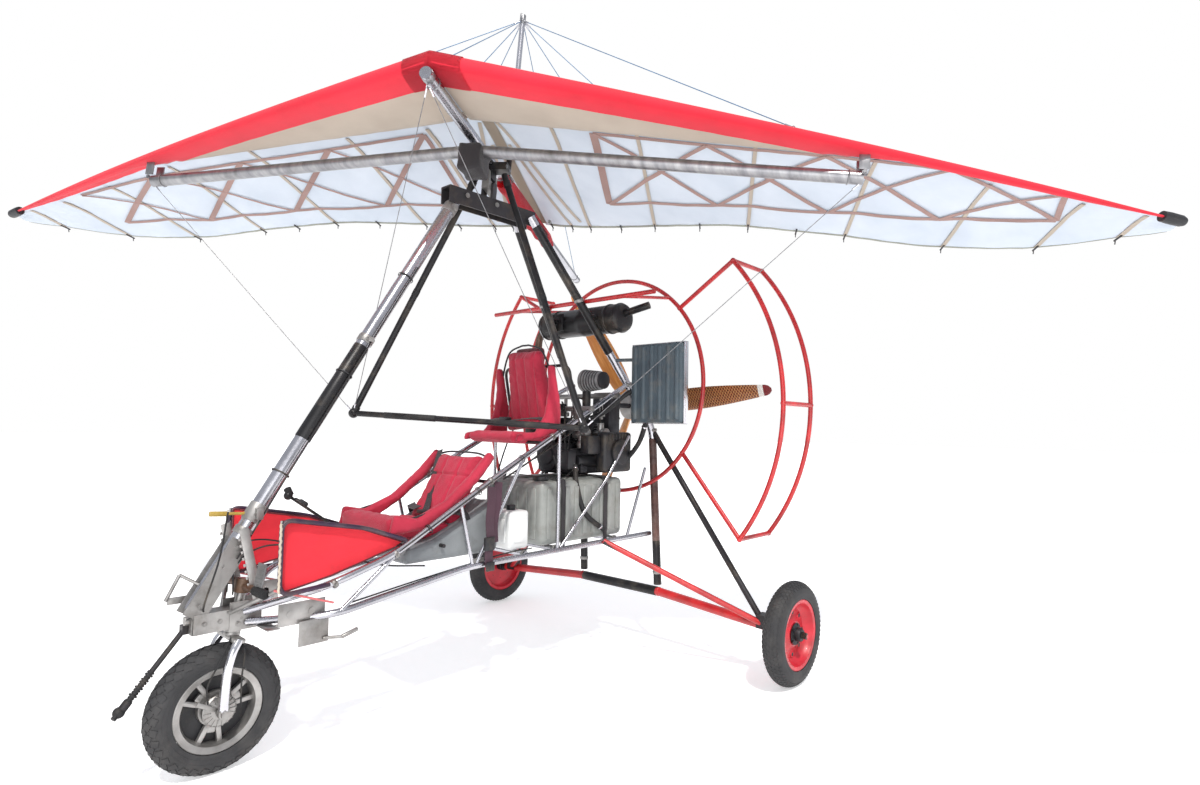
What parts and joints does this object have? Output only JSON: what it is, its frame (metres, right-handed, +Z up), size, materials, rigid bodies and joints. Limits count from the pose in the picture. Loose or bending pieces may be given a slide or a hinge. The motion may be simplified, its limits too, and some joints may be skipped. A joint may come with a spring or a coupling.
{
  "type": "two-seat flex-wing microlight aircraft",
  "caption": "Tandem flex-wing microlight: tube trike on three wheels with seats, rear engine, guarded pusher propeller and a wing turned on its hang point.",
  "frame": {"origin": "on the ground under the middle of the front wheel", "axes": "+Z up, -Y the trike's nose, +X the trike's left side"},
  "size_m": [5.5019, 3.5001, 3.5074],
  "materials": {
    "polished_tube": "polished",
    "grey_plate": "satin",
    "dark_steel": "satin",
    "red_tube": "gloss",
    "purple_tube": "gloss",
    "red_cloth": "matt",
    "pedal_grey": "satin",
    "black_metal": "satin",
    "engine_alloy": "rough",
    "filter_cloth": "matt",
    "slate_box": "satin",
    "tank_plastic": "translucent",
    "black_plastic": "satin",
    "cast_alloy": "cast",
    "brown_tube": "gloss",
    "tyre_rubber": "matt",
    "red_rim": "gloss",
    "prop_wood": "varnished",
    "sail_cloth": "taut",
    "bar_alloy": "satin",
    "wire": "bare"
  },
  "bodies": {
    "trike": {"front_strut": "polished_tube", "strut_channel": "grey_plate", "nose_frame": "dark_steel", "side_rail_left": "polished_tube", "side_rail_right": "polished_tube", "lower_frame": "polished_tube", "mast_leg_left": "polished_tube", "mast_leg_right": "polished_tube", "mast_head": "grey_plate", "spreader_bar": "red_tube", "fairing_frame": "purple_tube", "nose_panel_left": "red_cloth", "nose_panel_right": "red_cloth", "seat_frame": "dark_steel", "front_seat": "red_cloth", "rear_seat": "red_cloth", "hand_lever": "black_metal", "tow_bar": "dark_steel", "rear_axle": "red_tube", "gear_leg_left": "dark_steel", "gear_leg_right": "dark_steel", "engine": "engine_alloy", "engine_mount": "grey_plate", "muffler": "black_metal", "air_filter": "filter_cloth", "radiator": "slate_box", "fuel_tank": "tank_plastic", "header_tank": "tank_plastic", "battery_box": "black_plastic", "guard_ring": "red_tube", "guard_left": "red_tube", "guard_right": "red_tube"},
    "steering": {"fork": "cast_alloy", "foot_bar": "brown_tube", "pedals": "pedal_grey"},
    "front_wheel": {"front_rim": "cast_alloy", "front_tyre": "tyre_rubber"},
    "rear_wheel_left": {"rear_rim_left": "red_rim", "rear_tyre_left": "tyre_rubber"},
    "rear_wheel_right": {"rear_rim_right": "red_rim", "rear_tyre_right": "tyre_rubber"},
    "prop": {"propeller": "prop_wood"},
    "hang": {"hang_block": "grey_plate"},
    "wing": {"hang_bracket": "black_metal", "keel_tube": "polished_tube", "sail_left": "sail_cloth", "sail_right": "sail_cloth", "crossbar": "bar_alloy", "king_post": "polished_tube", "upright_left": "black_metal", "upright_right": "black_metal", "base_bar": "black_metal", "stays": "wire"}
  },
  "joints": [
    {"name": "steer", "type": "hinge", "parent": "trike", "child": "steering", "pos_m": [0, 0, 0.224], "axis": [0, 0.1736, 0.9848], "range_deg": [-25, 25]},
    {"name": "front_spin", "type": "hinge", "parent": "steering", "child": "front_wheel", "pos_m": [0, 0, 0.224], "axis": [1, 0, 0], "continuous": true},
    {"name": "rear_left_spin", "type": "hinge", "parent": "trike", "child": "rear_wheel_left", "pos_m": [1.12, 2.225, 0.252], "axis": [1, 0, 0], "continuous": true},
    {"name": "rear_right_spin", "type": "hinge", "parent": "trike", "child": "rear_wheel_right", "pos_m": [-1.12, 2.225, 0.252], "axis": [1, 0, 0], "continuous": true},
    {"name": "prop_spin", "type": "hinge", "parent": "trike", "child": "prop", "pos_m": [0, 2.33, 1.38], "axis": [0, 1, 0], "continuous": true},
    {"name": "wing_pitch", "type": "hinge", "parent": "trike", "child": "hang", "pos_m": [0, 1.16484, 2.43849], "axis": [0.8517, 0.522, -0.0457], "range_deg": [-4, 5]},
    {"name": "wing_roll", "type": "hinge", "parent": "hang", "child": "wing", "pos_m": [0, 1.17033, 2.50125], "axis": [-0.524, 0.8485, -0.0742], "range_deg": [-3, 3]}
  ]
}
